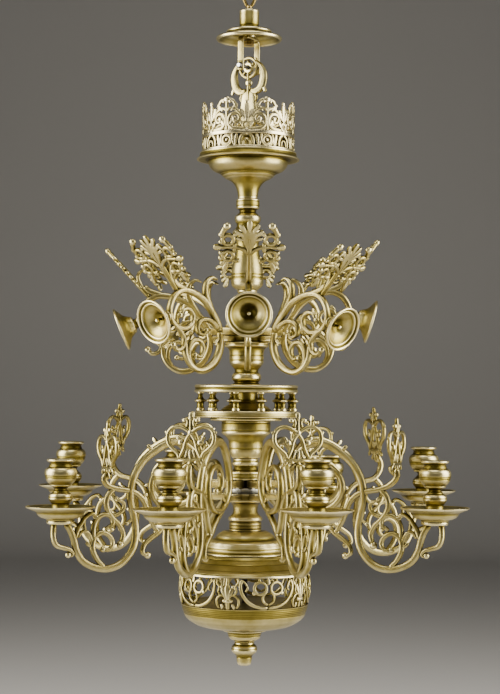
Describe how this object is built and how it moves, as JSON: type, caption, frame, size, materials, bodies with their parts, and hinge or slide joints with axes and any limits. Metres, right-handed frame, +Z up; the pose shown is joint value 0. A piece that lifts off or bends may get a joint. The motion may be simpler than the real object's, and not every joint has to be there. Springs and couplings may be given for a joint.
{
  "type": "chandelier",
  "caption": "Brass chandelier with scrolled candle arms below and horn arms above, on a turned stem with a pierced crown, gallery and globe, hung from a swivelling shackle.",
  "frame": {"origin": "where the ceiling hook bears, at the inner top of the hanging eye, on the stem's axis", "axes": "+Z up the stem, -Y towards the viewer of the picture, +X to the viewer's right"},
  "size_m": [0.6504, 0.6509, 1.0307],
  "materials": {
    "brass": "aged, polished",
    "dark_brass": "dark patina",
    "iron": "bare, dark"
  },
  "bodies": {
    "suspension": {"hanging_eye": "dark_brass", "canopy": "brass"},
    "shackle": {"shackle": "brass", "shackle_bolt": "iron"},
    "chandelier": {"candle_arm_1": "brass", "candle_arm_2": "brass", "candle_arm_3": "brass", "candle_arm_4": "brass", "candle_arm_5": "brass", "candle_arm_6": "brass", "candle_arm_7": "brass", "candle_arm_8": "brass", "candle_cup_1": "brass", "candle_cup_2": "brass", "candle_cup_3": "brass", "candle_cup_4": "brass", "candle_cup_5": "brass", "candle_cup_6": "brass", "candle_cup_7": "brass", "candle_cup_8": "brass", "central_rod": "iron", "crown_band": "brass", "crown_dish": "brass", "drip_pan_1": "brass", "drip_pan_2": "brass", "drip_pan_3": "brass", "drip_pan_4": "brass", "drip_pan_5": "brass", "drip_pan_6": "brass", "drip_pan_7": "brass", "drip_pan_8": "brass", "finial": "brass", "gallery_plate": "brass", "gallery_rail": "brass", "globe": "brass", "globe_cap": "brass", "hanger": "brass", "horn_1": "brass", "horn_2": "brass", "horn_3": "brass", "horn_4": "brass", "horn_5": "brass", "horn_6": "brass", "horn_7": "brass", "horn_8": "brass", "horn_arm_1": "brass", "horn_arm_2": "brass", "horn_arm_3": "brass", "horn_arm_4": "brass", "horn_arm_5": "brass", "horn_arm_6": "brass", "horn_arm_7": "brass", "horn_arm_8": "brass", "lower_cap": "brass", "lower_cup": "brass", "lower_hub": "dark_brass", "pendant_cup": "brass", "upper_cap": "brass", "upper_hub": "brass", "upper_vase": "brass"}
  },
  "joints": [
    {"name": "shackle_swivel", "type": "hinge", "parent": "suspension", "child": "shackle", "pos_m": [0, 0, -0.0861], "axis": [0, 0, 1], "continuous": true},
    {"name": "hanger_swing", "type": "hinge", "parent": "shackle", "child": "chandelier", "pos_m": [0, 0, -0.12975], "axis": [0.5299, 0.848, 0], "range_deg": [-60, 60]}
  ]
}
